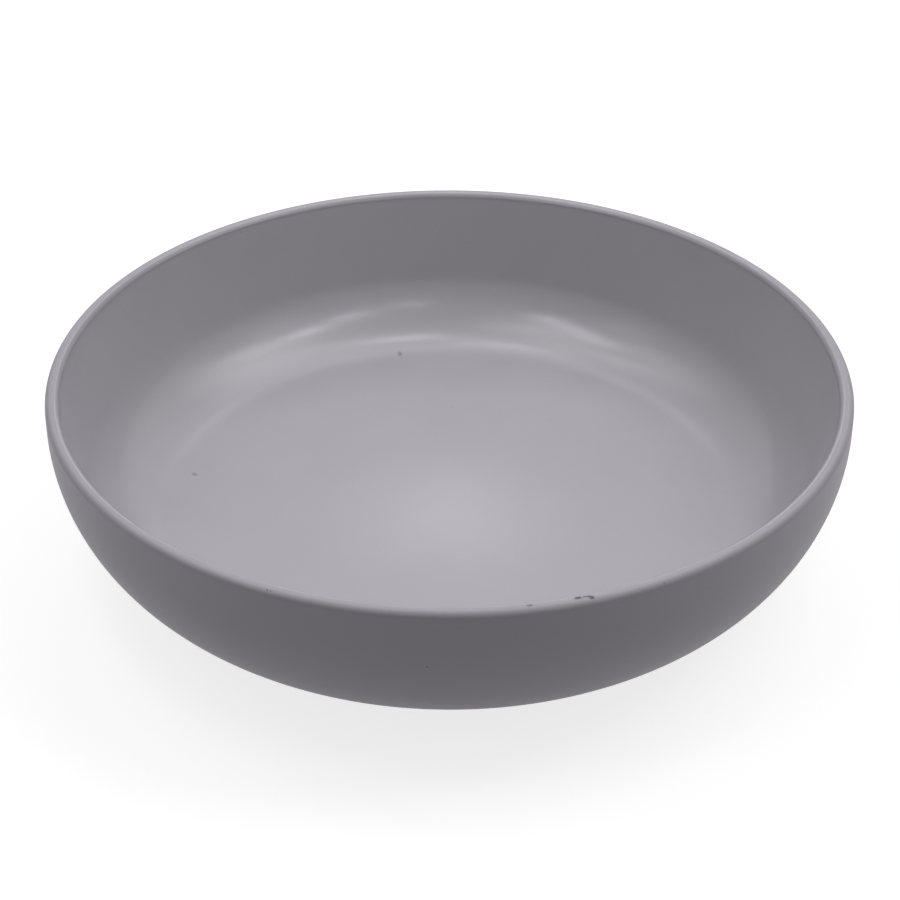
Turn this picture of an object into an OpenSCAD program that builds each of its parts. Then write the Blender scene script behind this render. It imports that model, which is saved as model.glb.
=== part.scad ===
// A shallow stoneware bowl for pasta, soup or salad.
// The body is fired clay. A satin coat lines the hollow up to the lip's inner rounding, and a matt coat
// covers the outside and the rest of the lip. The two meet on top of the lip.
// The bowl stands on the bare underside of a low foot ring, with a coated recess inside it.
// Origin: on the bowl's axis, at the level of the table. +Z points up.

/* [Bowl] */
// Outer radius of the bowl at its widest
rim_radius = 110; // [98:1:120]
// Height from the table to the top of the lip
bowl_height = 56; // [53:0.5:62]
// Depth below the lip at which the outer wall is widest
widest_depth = 5.5; // [4:0.5:7]

/* [Lip] */
// Thickness of the lip, with its coat
lip_thickness = 4; // [3.7:0.1:4.7]
// Rounding of the lip's outer edge
lip_outer_round = 1.8; // [1.1:0.1:2.1]
// Rounding of the lip's inner edge
lip_inner_round = 1.8; // [1.1:0.1:2.1]

/* [Hollow] */
// Lean of the inner wall from the vertical, in degrees
wall_lean = 14; // [10:1:20]
// Radius of the curve that joins the inner wall to the floor
cove_radius = 24; // [20:1:32]
// Radius of the floor's gentle dish
dish_radius = 800; // [600:10:1200]
// Thickness of the floor on the axis, with its coats
floor_thickness = 7; // [5.5:0.5:8]

/* [Foot] */
// Outer radius of the foot ring, as a share of the bowl's radius
foot_share = 0.6; // [0.58:0.01:0.66]
// Height of the foot ring's outer side, up to where the wall begins
foot_height = 1.8; // [1.4:0.1:2.4]
// Width of the foot ring at its underside
foot_width = 5; // [4:0.5:7]
// Rounding of the foot ring's lower edges
foot_round = 0.8; // [0.5:0.1:1]
// Lean of the foot ring's inner side from the vertical, in degrees
foot_lean = 20; // [10:1:30]
// Depth of the recess inside the foot ring
recess_depth = 2.2; // [1.8:0.1:2.8]
// Radius of the curve round the recess's upper edge
recess_round = 1.2; // [0.8:0.1:1.4]

/* [Coats] */
// Thickness of each coat of glaze
coat = 0.4; // [0.3:0.05:0.5]
// Height above the table at which the coats stop on the foot ring
coat_stop = 1; // [0.8:0.1:1.2]

/* [Hidden] */

// How far a cutting shape runs past what it cuts
overrun = 5;
// How far a rounding runs past the sides that it joins, so that they cross cleanly
blend_overrun = 0.0005;
// Facets in a full turn of the bowl, and of the curves in its section
turn_facets = 120;
curve_facets = 120;
dish_facets = 1440;
$fn = curve_facets;

// The outer wall's curve is widest below the lip and meets the foot ring at its upper edge
foot_radius = rim_radius * foot_share;
wall_level = bowl_height - widest_depth;
wall_run = rim_radius - foot_radius;
wall_rise = wall_level - foot_height;
wall_curve = (wall_run * wall_run + wall_rise * wall_rise) / (2 * wall_run);
wall_centre = [rim_radius - wall_curve, wall_level];

// The lip's two rounded edges
lip_outer_centre = [rim_radius - lip_outer_round, bowl_height - lip_outer_round];
lip_inner_centre = [rim_radius - lip_thickness + lip_inner_round, bowl_height - lip_inner_round];

// Directions of the inner wall: down along it, and square to it into the clay
wall_down = [-sin(wall_lean), -cos(wall_lean)];
wall_in_clay = [cos(wall_lean), -sin(wall_lean)];

// The cove touches the inner wall and the dish. Its centre lies on a line beside the wall, at the
// place where its distance to the dish's centre is the difference of the two radii.
floor_level = recess_depth + floor_thickness;
dish_centre = [0, floor_level + dish_radius];
cove_line_start = lip_inner_centre - (lip_inner_round + cove_radius) * wall_in_clay;
from_dish = cove_line_start - dish_centre;
along = from_dish * wall_down;
reach = dish_radius - cove_radius;
cove_centre = cove_line_start + (sqrt(along * along - from_dish * from_dish + reach * reach) - along) * wall_down;
cove_foot_direction = (cove_centre - dish_centre) / norm(cove_centre - dish_centre);

// The foot ring's underside, the sloping side of its recess and the curve above that side
foot_outer_x = foot_radius - coat;
foot_inner_x = foot_outer_x - foot_width;
foot_inner_centre = [foot_inner_x + foot_round, foot_round];
foot_outer_centre = [foot_outer_x - foot_round, foot_round];
side_in_clay = [cos(foot_lean), sin(foot_lean)];
recess_curve_level = recess_depth - recess_round;
recess_centre = [recess_side(recess_curve_level, -recess_round), recess_curve_level];

// The corner beyond a rounding: a wedge from its centre along two directions, less the rounding's circle
module corner_beyond(centre, first, second, radius) {
    first_side = first * 2 * radius;
    second_side = second * 2 * radius;
    difference() {
        polygon([centre, centre + first_side, centre + first_side + second_side, centre + second_side]);
        translate(centre) circle(radius + blend_overrun);
    }
}

// The bowl without its hollow and recess, in section, set in by the given amount
module outline(inset) {
    difference() {
        union() {
            square([foot_radius - inset, wall_level]);
            translate([0, wall_level]) square([rim_radius - inset, widest_depth - inset]);
            intersection() {
                translate(wall_centre) circle(wall_curve - inset);
                square([rim_radius, wall_level]);
            }
        }
        corner_beyond(lip_outer_centre, [1, 0], [0, 1], lip_outer_round - inset);
    }
}

// Radius of the inner wall at a level, grown into the clay by the given amount
function wall_side(level, growth) = lip_inner_centre.x
    + ((level - lip_inner_centre.y) * sin(wall_lean) - lip_inner_round + growth) / cos(wall_lean);

// Radius of the recess's sloping side at a level, grown into the clay by the given amount
function recess_side(level, growth) = foot_inner_centre.x
    - ((level - foot_inner_centre.y) * sin(foot_lean) + foot_round + coat - growth) / cos(foot_lean);

// The hollow, in section, grown into the clay by the given amount
module hollow(growth) {
    above_lip = bowl_height + overrun;
    below_floor = floor_level - overrun;
    difference() {
        intersection() {
            translate(dish_centre) circle(dish_radius + growth, $fn = dish_facets);
            polygon([
                [0, below_floor],
                [wall_side(below_floor, growth), below_floor],
                [wall_side(above_lip, growth), above_lip],
                [0, above_lip]
            ]);
        }
        corner_beyond(cove_centre, wall_in_clay, cove_foot_direction, cove_radius + growth);
    }
    corner_beyond(lip_inner_centre, -wall_in_clay, [0, 1], lip_inner_round - growth);
}

// The recess under the floor, in section, grown into the clay by the given amount
module recess(growth) {
    ceiling = recess_depth + growth;
    difference() {
        polygon([
            [0, -overrun],
            [recess_side(-overrun, growth), -overrun],
            [recess_side(ceiling, growth), ceiling],
            [0, ceiling]
        ]);
        corner_beyond(recess_centre, side_in_clay, [0, 1], recess_round + growth);
    }
}

// Everything below a level, in section
module below(level) {
    translate([0, -overrun]) square([rim_radius + overrun, level + overrun]);
}

// The lip's inner rounding and all inside it, in section, up to where the two coats meet
module lip_inside() {
    translate([0, lip_inner_centre.y]) square([lip_inner_centre.x, lip_inner_round]);
}

module revolve() {
    rotate_extrude($fn = turn_facets) children();
}

module stoneware_body() {
    color([0.62, 0.58, 0.54])
    revolve()
    difference() {
        outline(coat);
        hollow(coat);
        recess(coat);
        corner_beyond(foot_outer_centre, [1, 0], [0, -1], foot_round);
        corner_beyond(foot_inner_centre, -side_in_clay, [0, -1], foot_round);
    }
}

module inner_glaze() {
    color([0.71, 0.70, 0.74])
    revolve()
    difference() {
        union() {
            outline(coat);
            lip_inside();
        }
        difference() {
            outline(coat);
            hollow(coat);
        }
        hollow(0);
    }
}

module outer_glaze() {
    color([0.55, 0.54, 0.57])
    revolve()
    difference() {
        outline(0);
        outline(coat);
        lip_inside();
        below(coat_stop);
    }
}

module base_glaze() {
    color([0.55, 0.54, 0.57])
    revolve()
    difference() {
        recess(coat);
        recess(0);
        below(coat_stop);
    }
}

stoneware_body();
inner_glaze();
outer_glaze();
base_glaze();
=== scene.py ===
# A shallow stoneware bowl, satin inside and matt outside, standing on a pale studio floor.
# The clay body and its three coats are turned here from the same sections as the CAD solids, in far
# finer steps, and the coats' free edges are rounded as glaze leaves them.
import math
from functools import partial

import bmesh
import bpy
from mathutils import Matrix, Vector


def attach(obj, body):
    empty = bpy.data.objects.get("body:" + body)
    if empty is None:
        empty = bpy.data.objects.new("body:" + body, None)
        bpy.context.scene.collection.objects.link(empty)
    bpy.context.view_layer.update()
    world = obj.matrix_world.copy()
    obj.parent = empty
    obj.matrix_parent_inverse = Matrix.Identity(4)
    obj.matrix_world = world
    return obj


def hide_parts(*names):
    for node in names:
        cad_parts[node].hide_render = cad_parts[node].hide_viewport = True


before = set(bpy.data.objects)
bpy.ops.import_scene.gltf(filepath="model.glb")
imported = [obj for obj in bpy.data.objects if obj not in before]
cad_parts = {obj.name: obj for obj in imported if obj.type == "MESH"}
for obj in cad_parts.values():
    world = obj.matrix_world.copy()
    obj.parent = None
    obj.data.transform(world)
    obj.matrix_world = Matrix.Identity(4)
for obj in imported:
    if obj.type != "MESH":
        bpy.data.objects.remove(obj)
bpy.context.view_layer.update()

MM = 0.001

# Bowl
RIM_RADIUS = 110 * MM
BOWL_HEIGHT = 56 * MM
WIDEST_DEPTH = 5.5 * MM

# Lip
LIP_THICKNESS = 4 * MM
LIP_OUTER_ROUND = 1.8 * MM
LIP_INNER_ROUND = 1.8 * MM

# Hollow
WALL_LEAN = math.radians(14)
COVE_RADIUS = 24 * MM
DISH_RADIUS = 800 * MM
FLOOR_THICKNESS = 7 * MM

# Foot
FOOT_RADIUS = 66 * MM
FOOT_HEIGHT = 1.8 * MM
FOOT_WIDTH = 5 * MM
FOOT_ROUND = 0.8 * MM
FOOT_LEAN = math.radians(20)
RECESS_DEPTH = 2.2 * MM
RECESS_ROUND = 1.2 * MM

# Coats
COAT = 0.4 * MM
COAT_STOP = 1 * MM
COAT_EDGE_ROUND = 0.06 * MM

# Steps of the turned shapes
STEPS_ROUND = 384
ARC_STEP = math.radians(3)
ARC_MIN_STEPS = 3
LONG_ARC_STEPS = 48
COAT_EDGE_STEPS = 6
MERGE_DISTANCE = 0.001 * MM
CREASE_ANGLE = math.radians(35)

# What each finish asks of the glaze group
# The colour of each coat is darkened on the lip's rounded edges as painted shade.
SATIN = {
    "Colour": (0.457, 0.44, 0.470, 1), "Mottle": 0.05, "Roughness": 0.25, "Roughness spread": 0.06,
    "Ripple": 0.4, "Grain": 0.05, "Painted edge shade": 0.26, "Lip roughness": 0.15,
}
MATT = {
    "Colour": (0.416, 0.397, 0.439, 1), "Mottle": 0.06, "Roughness": 0.55, "Roughness spread": 0.08,
    "Ripple": 0.3, "Grain": 0.15, "Painted edge shade": 0.14,
}
CLAY = {
    "Colour": (0.34, 0.30, 0.26, 1), "Mottle": 0.25, "Roughness": 0.9, "Roughness spread": 0.1,
    "Ripple": 0.2, "Grain": 1.0,
}
GLAZE_RELIEF = 0.02 * MM
CLAY_RELIEF = 0.05 * MM

# Noises of the glaze group and of the flecks' outlines: scale and detail
CLOUDS = (60, 3)
SPECKS = (900, 2)
RIPPLES = (220, 1)
GRAINS = (2400, 2)
RAGGED_EDGE = (2500, 2)
SPECK_SHARE = 0.5

# Levels at which the painted shade and the extra roughness on the lip's rounded edges set in, and fade again
# towards the top
LIP_EDGE_LEVELS = (BOWL_HEIGHT - 1.9 * MM, BOWL_HEIGHT - 1.1 * MM)
LIP_TOP_LEVELS = (BOWL_HEIGHT - 0.35 * MM, BOWL_HEIGHT + 0.05 * MM)

# Flecks and pinholes: turn round the bowl in degrees, radius and level in mm, length round the bowl and
# width in mm, and strength. Those of the lip lie where the coats meet, so both coats have them.
FLECK_COLOUR = (0.07, 0.06, 0.06, 1)
FLECK_FADE = (0.4, 1.2)
SATIN_FLECKS = [
    (100.75, 82.5, 13.7, 1.5, 2.4, 0.45),
    (168.25, 74.8, 12.7, 1.8, 2.0, 0.35),
    (89.25, 54.5, 11.05, 0.9, 1.1, 0.1),
    (57.75, 55.75, 11.15, 0.9, 1.1, 0.1),
    (126.5, 105.9, 53.95, 0.8, 0.8, 0.15),
    (243.75, 106.7, 55.6, 0.6, 0.6, 0.3),
    (280.05, 106.5, 55.4, 0.6, 0.8, 0.35),
]
MATT_FLECKS = [
    (267.25, 108.65, 39.05, 0.7, 0.7, 0.6),
    (298.5, 109.55, 55.4, 0.5, 0.5, 0.5),
    (290.5, 110.0, 48.65, 0.5, 0.5, 0.2),
    (238.75, 110.0, 53.5, 0.5, 0.5, 0.25),
    (246.25, 109.15, 55.7, 0.6, 0.6, 0.7),
    (246.75, 109.15, 55.7, 0.5, 0.5, 0.5),
]
LIP_FLECKS = [
    (286.75, 107.65, 56.0, 2.3, 1.5, 1.0),
    (287.75, 107.75, 56.0, 1.8, 0.9, 0.8),
    (288.15, 107.9, 56.0, 1.5, 1.0, 0.9),
    (288.45, 108.5, 55.95, 1.6, 1.3, 1.0),
    (280.3, 108.0, 56.0, 2.0, 1.1, 0.6),
]

# Camera, fitted to the bowl's outline in the photograph
CAMERA_DISTANCE = 6.5 * RIM_RADIUS
CAMERA_ELEVATION = math.radians(31.415)
CAMERA_PITCH = math.radians(33.084)
CAMERA_YAW = math.radians(0.0157)
CAMERA_ROLL = math.radians(0.148)
CAMERA_CLIP_START = 0.01
LENS_MM = 104.46
SENSOR_MM = 36

# Light: softboxes, small lamps that show only in reflections and draw the arcs at the back of the hollow,
# and the glow's lamp. A lamp's place is its elevation and its turn round the bowl from +X, in degrees. In
# a row, power in watts and a tint follow.
LIGHT_DISTANCE = 1.2
COOL = (0.97, 0.97, 1.10)
PLAIN = (1, 1, 1)
LILAC = (1.03, 1, 1.09)
SOFTBOX_WIDTH = 0.3
SOFTBOXES = [
    (72, 30, 0.56, PLAIN), (72, 150, 0.72, PLAIN), (72, 210, 1.04, PLAIN),
    (60, 0, 0.80, PLAIN), (60, 30, 0.97, PLAIN), (60, 60, 0.66, COOL), (60, 90, 0.38, COOL),
    (60, 120, 0.28, COOL), (60, 150, 0.70, PLAIN),
    (48, 0, 1.20, PLAIN), (48, 22.5, 0.48, PLAIN), (50, 90, 0.70, COOL), (48, 157.5, 0.40, PLAIN),
    (48, 180, 0.60, PLAIN),
    (36, 10, 0.32, PLAIN), (36, 170, 0.18, PLAIN), (36, 202.5, 0.42, PLAIN), (36, 337.5, 0.38, PLAIN),
    (22, 90, 0.34, COOL),
]
HIGHLIGHT_WIDTH = 0.12
HIGHLIGHTS = [
    (80, 60, 0.62, LILAC), (70, 105, 0.48, LILAC), (61, 189, 0.74, LILAC), (58, 209, 0.70, LILAC),
    (54, 226, 0.75, LILAC), (54.5, 336, 1.05, LILAC), (50, 312, 0.75, LILAC), (45, 286, 0.40, LILAC),
]
GLOW_PLACE = (90, 0)
GLOW_POWER = 11.0
GLOW_ANGLE = math.radians(3)
GLOW_BLEND = 1
GLOW_LAMP_RADIUS = 0.02
AMBIENT_STRENGTH = 0.14
BACKGROUND_STRENGTH = 1.0
WHITE = (1, 1, 1, 1)

# Floor
FLOOR_RADIUS = 3.0
FLOOR_SIDES = 96
FLOOR_GAP = 0.05 * MM
FLOOR_COLOUR = (0.42, 0.42, 0.42, 1)
FLOOR_LIFT = 0.78

# Kinds of node sockets
GEOMETRY = "NodeSocketGeometry"
MATERIAL = "NodeSocketMaterial"
WHOLE_NUMBER = "NodeSocketInt"
NUMBER = "NodeSocketFloat"
COLOUR = "NodeSocketColor"
VECTOR = "NodeSocketVector"


# Sections, as points (radius, level)

def unit(angle):
    return Vector((math.cos(angle), math.sin(angle)))


def arc(centre, radius, start, end, steps=None):
    """Points of an arc about a centre, from one angle to another."""
    steps = steps or max(ARC_MIN_STEPS, math.ceil(abs(end - start) / ARC_STEP))
    return [centre + radius * unit(start + (end - start) * i / steps) for i in range(steps + 1)]


LIP_INNER_CENTRE = Vector((RIM_RADIUS - LIP_THICKNESS + LIP_INNER_ROUND, BOWL_HEIGHT - LIP_INNER_ROUND))
LIP_OUTER_CENTRE = Vector((RIM_RADIUS - LIP_OUTER_ROUND, BOWL_HEIGHT - LIP_OUTER_ROUND))
WALL_IN_CLAY = unit(-WALL_LEAN)
WALL_DOWN = unit(-math.pi / 2 - WALL_LEAN)
FLOOR_LEVEL = RECESS_DEPTH + FLOOR_THICKNESS
DISH_CENTRE = Vector((0, FLOOR_LEVEL + DISH_RADIUS))


def cove_centre():
    """The cove touches the wall and the dish, so it lies beside the one and inside the other."""
    start = LIP_INNER_CENTRE - (LIP_INNER_ROUND + COVE_RADIUS) * WALL_IN_CLAY
    from_dish = start - DISH_CENTRE
    along = from_dish.dot(WALL_DOWN)
    reach = DISH_RADIUS - COVE_RADIUS
    return start + (math.sqrt(along ** 2 - from_dish.length_squared + reach ** 2) - along) * WALL_DOWN


COVE_CENTRE = cove_centre()
COVE_FOOT_ANGLE = math.atan2(*reversed(COVE_CENTRE - DISH_CENTRE))


def hollow_side(growth):
    """The hollow from its axis up to where the coats meet on top of the lip, grown into the clay."""
    axis_angle = -math.pi / 2
    dish = arc(DISH_CENTRE, DISH_RADIUS + growth, axis_angle, COVE_FOOT_ANGLE, LONG_ARC_STEPS)
    cove = arc(COVE_CENTRE, COVE_RADIUS + growth, COVE_FOOT_ANGLE, -WALL_LEAN)
    lip = arc(LIP_INNER_CENTRE, LIP_INNER_ROUND - growth, math.pi - WALL_LEAN, math.pi / 2)
    return dish[:-1] + cove + lip


def outer_side(inset):
    """From the lip's outer rounding down the outside to the foot ring's upper edge, set in."""
    lip = arc(LIP_OUTER_CENTRE, LIP_OUTER_ROUND - inset, math.pi / 2, 0)
    run = RIM_RADIUS - FOOT_RADIUS
    rise = BOWL_HEIGHT - WIDEST_DEPTH - FOOT_HEIGHT
    radius = (run ** 2 + rise ** 2) / (2 * run)
    centre = Vector((RIM_RADIUS - radius, BOWL_HEIGHT - WIDEST_DEPTH))
    end = -math.acos((FOOT_RADIUS - inset - centre.x) / (radius - inset))
    return lip + arc(centre, radius - inset, 0, end, LONG_ARC_STEPS)


def recess_side(growth):
    """The curve at the recess's upper edge, and where its sloping side ends at the coat's stop, grown."""
    side = unit(FOOT_LEAN)
    ring_centre = Vector((FOOT_RADIUS - COAT - FOOT_WIDTH + FOOT_ROUND, FOOT_ROUND))
    start = ring_centre - (FOOT_ROUND + COAT - growth) * side
    along = unit(FOOT_LEAN - math.pi / 2)
    curve_level = RECESS_DEPTH - RECESS_ROUND
    curve_x = ring_centre.x - ((curve_level - ring_centre.y) * math.sin(FOOT_LEAN)
                               + FOOT_ROUND + COAT + RECESS_ROUND) / math.cos(FOOT_LEAN)
    curve = arc(Vector((curve_x, curve_level)), RECESS_ROUND + growth, math.pi / 2, FOOT_LEAN)
    stop = start + along * (start.y - COAT_STOP) / math.cos(FOOT_LEAN)
    return curve, stop


def coat_edge(outer, end, inner):
    """A coat's corner at end between two straight sides, rounded by an arc that touches both."""
    first, second = (outer - end).normalized(), (inner - end).normalized()
    half = first.angle(second) / 2
    back = COAT_EDGE_ROUND / math.tan(half)
    centre = end + (first + second).normalized() * COAT_EDGE_ROUND / math.sin(half)
    from_centre = [end + first * back - centre, end + second * back - centre]
    angles = [math.atan2(v.y, v.x) for v in from_centre]
    turn = (angles[1] - angles[0] + math.pi) % (2 * math.pi) - math.pi
    return arc(centre, COAT_EDGE_ROUND, angles[0], angles[0] + turn, COAT_EDGE_STEPS)


def clay_section():
    """The clay body, from the floor's centre over the lip and the foot ring to the recess's centre."""
    foot_outer = Vector((FOOT_RADIUS - COAT - FOOT_ROUND, FOOT_ROUND))
    foot_inner = Vector((FOOT_RADIUS - COAT - FOOT_WIDTH + FOOT_ROUND, FOOT_ROUND))
    curve, _ = recess_side(COAT)
    foot = arc(foot_outer, FOOT_ROUND, 0, -math.pi / 2)
    foot += arc(foot_inner, FOOT_ROUND, -math.pi / 2, FOOT_LEAN - math.pi)
    axis = [Vector((0, RECESS_DEPTH + COAT))]
    return hollow_side(COAT) + outer_side(COAT) + foot + curve[::-1] + axis


def inner_glaze_section():
    """The satin coat, from the floor's centre to the top of the lip and back along the clay."""
    face, back = hollow_side(0), hollow_side(COAT)
    return face[:-1] + coat_edge(face[-2], face[-1], back[-1]) + back[::-1]


def outer_glaze_section():
    """The matt coat, from the satin coat's edge over the lip to the foot ring and back along the clay."""
    face, back = outer_side(0), outer_side(COAT)
    top_face, top_back = (Vector((LIP_INNER_CENTRE.x, BOWL_HEIGHT - inset)) for inset in (0, COAT))
    stop_face, stop_back = (Vector((FOOT_RADIUS - inset, COAT_STOP)) for inset in (0, COAT))
    start = coat_edge(top_back, top_face, face[0])
    stop = coat_edge(face[-1], stop_face, stop_back)
    return start + face + stop + [stop_back] + back[::-1] + [top_back]


def base_glaze_section():
    """The matt coat of the recess, from its centre to the foot ring's inner side and back."""
    curve, stop = recess_side(0)
    back_curve, back_stop = recess_side(COAT)
    axis, back_axis = Vector((0, RECESS_DEPTH)), Vector((0, RECESS_DEPTH + COAT))
    end = coat_edge(curve[-1], stop, back_stop)
    return [axis] + curve + end + [back_stop] + back_curve[::-1] + [back_axis]


# Nodes

def new_group(name, kind, inputs, outputs):
    """A node group with named inputs and outputs. Returns it with the nodes at its two ends."""
    group = bpy.data.node_groups.new(name, kind)
    for side, sockets in (("INPUT", inputs), ("OUTPUT", outputs)):
        for label, socket_type in sockets.items():
            group.interface.new_socket(label, in_out=side, socket_type=socket_type)
    return group, group.nodes.new("NodeGroupInput"), group.nodes.new("NodeGroupOutput")


def math_node(tree, operation, *values):
    """The result of a Math node that is fed with numbers and sockets."""
    node = tree.nodes.new("ShaderNodeMath")
    node.operation = operation
    for socket, value in zip(node.inputs, values):
        if isinstance(value, (int, float)):
            socket.default_value = value
        else:
            tree.links.new(value, socket)
    return node.outputs[0]


def vector_node(tree, operation, result, first, second=None):
    """A named result of a Vector Math node that is fed with one or two sockets."""
    node = tree.nodes.new("ShaderNodeVectorMath")
    node.operation = operation
    tree.links.new(first, node.inputs[0])
    if second is not None:
        tree.links.new(second, node.inputs["Scale" if operation == "SCALE" else 1])
    return node.outputs[result]


def noise(tree, place, scale, detail):
    node = tree.nodes.new("ShaderNodeTexNoise")
    node.inputs["Scale"].default_value = scale
    node.inputs["Detail"].default_value = detail
    tree.links.new(place, node.inputs["Vector"])
    return node.outputs["Fac"]


def noise_about_zero(tree, place, scale, detail):
    return math_node(tree, "SUBTRACT", noise(tree, place, scale, detail), 0.5)


def smooth_step(tree, value, start, end, low=0, high=1):
    """The first level up to start and the second from end on, with a smooth step between them."""
    node = tree.nodes.new("ShaderNodeMapRange")
    node.interpolation_type = "SMOOTHSTEP"
    for name, number in (("From Min", start), ("From Max", end), ("To Min", low), ("To Max", high)):
        node.inputs[name].default_value = number
    tree.links.new(value, node.inputs["Value"])
    return node.outputs["Result"]


# Turning a section on the wheel

def turned_tree():
    """Sweeps a section, drawn in X and downwards in Y, round a circle and closes its seam and poles."""
    inputs = {"Section": GEOMETRY, "Guide radius": NUMBER, "Steps round": WHOLE_NUMBER,
              "Merge distance": NUMBER, "Finish": MATERIAL}
    tree, given, made = new_group("turned_on_wheel", "GeometryNodeTree", inputs, {"Turned form": GEOMETRY})
    new, link = tree.nodes.new, tree.links.new
    section = new("GeometryNodeMeshToCurve")
    guide = new("GeometryNodeCurvePrimitiveCircle")
    sweep = new("GeometryNodeCurveToMesh")
    merge = new("GeometryNodeMergeByDistance")
    smooth = new("GeometryNodeSetShadeSmooth")
    realize = new("GeometryNodeRealizeInstances")
    finish = new("GeometryNodeSetMaterial")
    link(given.outputs["Section"], section.inputs["Mesh"])
    link(given.outputs["Guide radius"], guide.inputs["Radius"])
    link(given.outputs["Steps round"], guide.inputs["Resolution"])
    link(guide.outputs["Curve"], sweep.inputs["Curve"])
    link(section.outputs["Curve"], sweep.inputs["Profile Curve"])
    link(sweep.outputs["Mesh"], merge.inputs["Geometry"])
    link(given.outputs["Merge distance"], merge.inputs["Distance"])
    link(merge.outputs["Geometry"], smooth.inputs["Geometry"])
    link(smooth.outputs["Geometry"], realize.inputs["Geometry"])
    link(realize.outputs["Geometry"], finish.inputs["Geometry"])
    link(given.outputs["Finish"], finish.inputs["Material"])
    link(finish.outputs["Geometry"], made.inputs["Turned form"])
    return tree


def set_input(modifier, name, value):
    """Sets a Geometry Nodes input, found by its name, through its identifier."""
    for item in modifier.node_group.interface.items_tree:
        if item.item_type == "SOCKET" and item.in_out == "INPUT" and item.name == name:
            modifier[item.identifier] = value


def section_mesh(name, points):
    """A section as a chain of edges, closed unless it begins and ends on the axis."""
    apart = [points[0]]
    for point in points[1:]:
        if (point - apart[-1]).length > MERGE_DISTANCE:
            apart.append(point)
    edges = [(i, i + 1) for i in range(len(apart) - 1)]
    if apart[0].x > MERGE_DISTANCE:
        edges.append((len(apart) - 1, 0))
    mesh = bpy.data.meshes.new(name + "_section")
    mesh.from_pydata([(p.x - RIM_RADIUS, -p.y, 0) for p in apart], edges, [])
    return mesh


def turned_piece(name, points, tree, material, node):
    """A piece turned from its section, in place of a CAD node."""
    piece = bpy.data.objects.new(name, section_mesh(name, points))
    bpy.context.scene.collection.objects.link(piece)
    wheel = piece.modifiers.new("wheel", "NODES")
    wheel.node_group = tree
    set_input(wheel, "Guide radius", RIM_RADIUS)
    set_input(wheel, "Steps round", STEPS_ROUND)
    set_input(wheel, "Merge distance", MERGE_DISTANCE)
    set_input(wheel, "Finish", material)
    graph = bpy.context.evaluated_depsgraph_get()
    mesh = bpy.data.meshes.new_from_object(piece.evaluated_get(graph), depsgraph=graph)
    piece.modifiers.remove(wheel)
    piece.data = mesh
    mesh.name = name
    shell = bmesh.new()
    shell.from_mesh(mesh)
    bmesh.ops.recalc_face_normals(shell, faces=shell.faces)
    shell.to_mesh(mesh)
    shell.free()
    mesh.set_sharp_from_angle(angle=CREASE_ANGLE)
    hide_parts(node)
    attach(piece, "root")


# Finishes

def glaze_group():
    """Fired glaze: faint mottling of its colour and roughness, long ripples and fine grain.

    On the lip's two rounded edges it is a little rougher, and its colour is darkened there as painted shade.
    """
    inputs = {"Colour": COLOUR, "Mottle": NUMBER, "Roughness": NUMBER, "Roughness spread": NUMBER,
              "Ripple": NUMBER, "Grain": NUMBER, "Painted edge shade": NUMBER, "Lip roughness": NUMBER}
    outputs = {"Colour": COLOUR, "Roughness": NUMBER, "Height": NUMBER}
    group, given, made = new_group("fired_glaze", "ShaderNodeTree", inputs, outputs)
    maths, link, wanted = partial(math_node, group), group.links.new, given.outputs
    place = group.nodes.new("ShaderNodeTexCoord").outputs["Object"]
    parts = group.nodes.new("ShaderNodeSeparateXYZ")
    link(place, parts.inputs[0])
    level = parts.outputs["Z"]
    on_edges = maths("SUBTRACT", smooth_step(group, level, *LIP_EDGE_LEVELS),
                     smooth_step(group, level, *LIP_TOP_LEVELS))
    clouds = noise_about_zero(group, place, *CLOUDS)
    specks = noise_about_zero(group, place, *SPECKS)
    mottle = maths("MULTIPLY", maths("MULTIPLY_ADD", specks, SPECK_SHARE, clouds), wanted["Mottle"])
    # Painted shade: the coat's colour is darkened on the lip's rounded edges.
    edge_shaded = maths("SUBTRACT", 1, maths("MULTIPLY", on_edges, wanted["Painted edge shade"]))
    shade = maths("MULTIPLY", maths("ADD", mottle, 1), edge_shaded)
    link(vector_node(group, "SCALE", "Vector", wanted["Colour"], shade), made.inputs["Colour"])
    even = maths("MULTIPLY_ADD", on_edges, wanted["Lip roughness"], wanted["Roughness"])
    link(maths("MULTIPLY_ADD", clouds, wanted["Roughness spread"], even), made.inputs["Roughness"])
    ripples = maths("MULTIPLY", noise(group, place, *RIPPLES), wanted["Ripple"])
    link(maths("MULTIPLY_ADD", noise(group, place, *GRAINS), wanted["Grain"], ripples), made.inputs["Height"])
    return group


def fleck_group():
    """A speck of iron that came up through the glaze: its strength within a ragged outline, 0 beyond."""
    inputs = {"Place": VECTOR, "Along": VECTOR, "Length": NUMBER, "Width": NUMBER, "Strength": NUMBER}
    group, given, made = new_group("iron_fleck", "ShaderNodeTree", inputs, {"Cover": NUMBER})
    maths, vectors, wanted = partial(math_node, group), partial(vector_node, group), given.outputs
    spot = group.nodes.new("ShaderNodeTexCoord").outputs["Object"]
    away = vectors("SUBTRACT", "Vector", spot, wanted["Place"])
    lengthways = vectors("DOT_PRODUCT", "Value", away, wanted["Along"])
    aside = vectors("SUBTRACT", "Vector", away, vectors("SCALE", "Vector", wanted["Along"], lengthways))
    far_along = maths("DIVIDE", maths("MULTIPLY", lengthways, 2), wanted["Length"])
    far_aside = maths("DIVIDE", maths("MULTIPLY", vectors("LENGTH", "Value", aside), 2), wanted["Width"])
    squares = maths("MULTIPLY_ADD", far_along, far_along, maths("MULTIPLY", far_aside, far_aside))
    reach = maths("ADD", maths("SQRT", squares), noise_about_zero(group, spot, *RAGGED_EDGE))
    inside = smooth_step(group, reach, *FLECK_FADE, low=1, high=0)
    group.links.new(maths("MULTIPLY", inside, wanted["Strength"]), made.inputs["Cover"])
    return group


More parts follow.
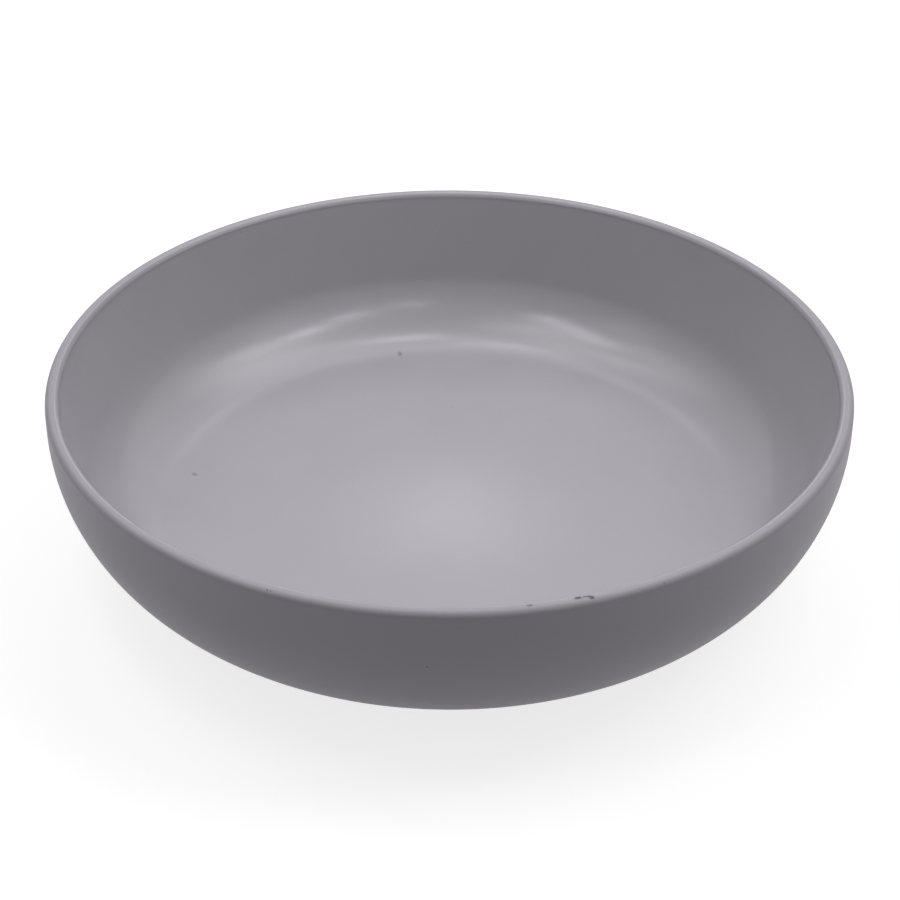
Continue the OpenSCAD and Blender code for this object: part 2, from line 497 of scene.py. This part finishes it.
def fleck_cover(tree, fleck, turn, radius, level, length, width, strength):
    """The cover of one fleck, placed by its row in a table."""
    turn = math.radians(turn)
    spot = tree.nodes.new("ShaderNodeGroup")
    spot.node_tree = fleck
    place = Vector((radius * math.cos(turn), radius * math.sin(turn), level)) * MM
    spot.inputs["Place"].default_value = place
    spot.inputs["Along"].default_value = (-math.sin(turn), math.cos(turn), 0)
    spot.inputs["Length"].default_value = length * MM
    spot.inputs["Width"].default_value = width * MM
    spot.inputs["Strength"].default_value = strength
    return spot.outputs["Cover"]


def flecked(tree, colour, fleck, flecks):
    """The colour of a coat with its flecks laid over it."""
    cover = fleck_cover(tree, fleck, *flecks[0])
    for row in flecks[1:]:
        cover = math_node(tree, "MAXIMUM", cover, fleck_cover(tree, fleck, *row))
    mix = tree.nodes.new("ShaderNodeMix")
    mix.data_type = "RGBA"
    tree.links.new(cover, mix.inputs["Factor"])
    tree.links.new(colour, mix.inputs["A"])
    mix.inputs["B"].default_value = FLECK_COLOUR
    return mix.outputs["Result"]


def finish_material(name, glaze, values, relief, fleck=None, flecks=()):
    """A Principled finish that takes its colour, roughness and relief from the glaze group."""
    material = bpy.data.materials.new(name)
    material.use_nodes = True
    tree = material.node_tree
    link = tree.links.new
    shader = tree.nodes["Principled BSDF"]
    skin = tree.nodes.new("ShaderNodeGroup")
    skin.node_tree = glaze
    for socket, value in values.items():
        skin.inputs[socket].default_value = value
    bump = tree.nodes.new("ShaderNodeBump")
    bump.inputs["Distance"].default_value = relief
    colour = skin.outputs["Colour"]
    link(flecked(tree, colour, fleck, flecks) if flecks else colour, shader.inputs["Base Color"])
    link(skin.outputs["Roughness"], shader.inputs["Roughness"])
    link(skin.outputs["Height"], bump.inputs["Height"])
    link(bump.outputs["Normal"], shader.inputs["Normal"])
    return material


# Studio

def add_camera():
    """The camera stands in front of the bowl, above its rim, and looks down past the rim's centre."""
    data = bpy.data.cameras.new("camera")
    data.sensor_width = SENSOR_MM
    data.lens = LENS_MM
    data.clip_start = CAMERA_CLIP_START
    camera = bpy.data.objects.new("camera", data)
    camera.location = (0, -CAMERA_DISTANCE * math.cos(CAMERA_ELEVATION),
                       BOWL_HEIGHT + CAMERA_DISTANCE * math.sin(CAMERA_ELEVATION))
    turn = (Matrix.Rotation(-CAMERA_YAW, 3, "Z") @ Matrix.Rotation(math.pi / 2 - CAMERA_PITCH, 3, "X")
            @ Matrix.Rotation(CAMERA_ROLL, 3, "Z"))
    camera.rotation_euler = turn.to_euler()
    bpy.context.scene.collection.objects.link(camera)
    bpy.context.scene.camera = camera


def add_lamp(name, data, elevation, turn):
    """A lamp on the sphere round the bowl, aimed at the bowl."""
    light = bpy.data.objects.new(name, data)
    turn, elevation = math.radians(turn), math.radians(elevation)
    place = Vector((math.cos(elevation) * math.cos(turn), math.cos(elevation) * math.sin(turn),
                    math.sin(elevation)))
    light.location = LIGHT_DISTANCE * place
    light.rotation_euler = place.to_track_quat("Z", "Y").to_euler()
    light.visible_camera = False
    bpy.context.scene.collection.objects.link(light)
    return light


def add_square_lamp(name, width, elevation, turn, power, colour):
    """A square lamp that faces the bowl."""
    name = f"{name}_{elevation}_{turn}"
    data = bpy.data.lights.new(name, "AREA")
    data.shape = "SQUARE"
    data.size = width
    data.energy = power
    data.color = colour
    return add_lamp(name, data, elevation, turn)


def add_glow():
    """A weak spot for the glow in the middle of the bowl's floor. It doesn't show in reflections."""
    data = bpy.data.lights.new("centre_glow", "SPOT")
    data.energy = GLOW_POWER
    data.spot_size = GLOW_ANGLE
    data.spot_blend = GLOW_BLEND
    data.shadow_soft_size = GLOW_LAMP_RADIUS
    add_lamp("centre_glow", data, *GLOW_PLACE).visible_glossy = False


def add_lights():
    for row in SOFTBOXES:
        add_square_lamp("softbox", SOFTBOX_WIDTH, *row)
    for row in HIGHLIGHTS:
        add_square_lamp("highlight", HIGHLIGHT_WIDTH, *row).visible_diffuse = False
    add_glow()


def shown_rays(tree):
    """1 for the rays that see the background: camera, glossy and transmission rays."""
    path = tree.nodes.new("ShaderNodeLightPath")
    seen = math_node(tree, "MAXIMUM", path.outputs["Is Camera Ray"], path.outputs["Is Glossy Ray"])
    return math_node(tree, "MAXIMUM", seen, path.outputs["Is Transmission Ray"])


def add_world():
    """A weak even light from all round, and a white background where it is seen."""
    world = bpy.data.worlds.new("studio")
    world.use_nodes = True
    bpy.context.scene.world = world
    tree = world.node_tree
    background = tree.nodes["Background"]
    strength = tree.nodes.new("ShaderNodeMapRange")
    strength.inputs["To Min"].default_value = AMBIENT_STRENGTH
    strength.inputs["To Max"].default_value = BACKGROUND_STRENGTH
    tree.links.new(shown_rays(tree), strength.inputs["Value"])
    tree.links.new(strength.outputs["Result"], background.inputs["Strength"])
    background.inputs["Color"].default_value = WHITE


def add_floor():
    """A pale floor just below the foot ring, lifted to white where it is seen. It keeps the shadow."""
    material = bpy.data.materials.new("pale_floor")
    material.use_nodes = True
    tree = material.node_tree
    shader = tree.nodes["Principled BSDF"]
    shader.inputs["Base Color"].default_value = FLOOR_COLOUR
    shader.inputs["Roughness"].default_value = 1
    shader.inputs["Specular IOR Level"].default_value = 0
    shader.inputs["Emission Color"].default_value = WHITE
    lift = math_node(tree, "MULTIPLY", shown_rays(tree), FLOOR_LIFT)
    tree.links.new(lift, shader.inputs["Emission Strength"])
    mesh = bpy.data.meshes.new("floor")
    disc = bmesh.new()
    bmesh.ops.create_circle(disc, cap_ends=True, radius=FLOOR_RADIUS, segments=FLOOR_SIDES,
                            matrix=Matrix.Translation((0, 0, -FLOOR_GAP)))
    disc.to_mesh(mesh)
    disc.free()
    mesh.materials.append(material)
    floor = bpy.data.objects.new("floor", mesh)
    bpy.context.scene.collection.objects.link(floor)


def add_bowl():
    """The clay body and its three coats."""
    wheel, glaze, fleck = turned_tree(), glaze_group(), fleck_group()
    satin = finish_material("satin_coat", glaze, SATIN, GLAZE_RELIEF, fleck, SATIN_FLECKS + LIP_FLECKS)
    matt = finish_material("matt_coat", glaze, MATT, GLAZE_RELIEF, fleck, MATT_FLECKS + LIP_FLECKS)
    clay = finish_material("fired_clay", glaze, CLAY, CLAY_RELIEF)
    turned_piece("clay_body", clay_section(), wheel, clay, "stoneware_body")
    turned_piece("inside_coat", inner_glaze_section(), wheel, satin, "inner_glaze")
    turned_piece("outside_coat", outer_glaze_section(), wheel, matt, "outer_glaze")
    turned_piece("recess_coat", base_glaze_section(), wheel, matt, "base_glaze")


bpy.context.scene.view_settings.view_transform = "Standard"
add_camera()
add_bowl()
add_floor()
add_world()
add_lights()
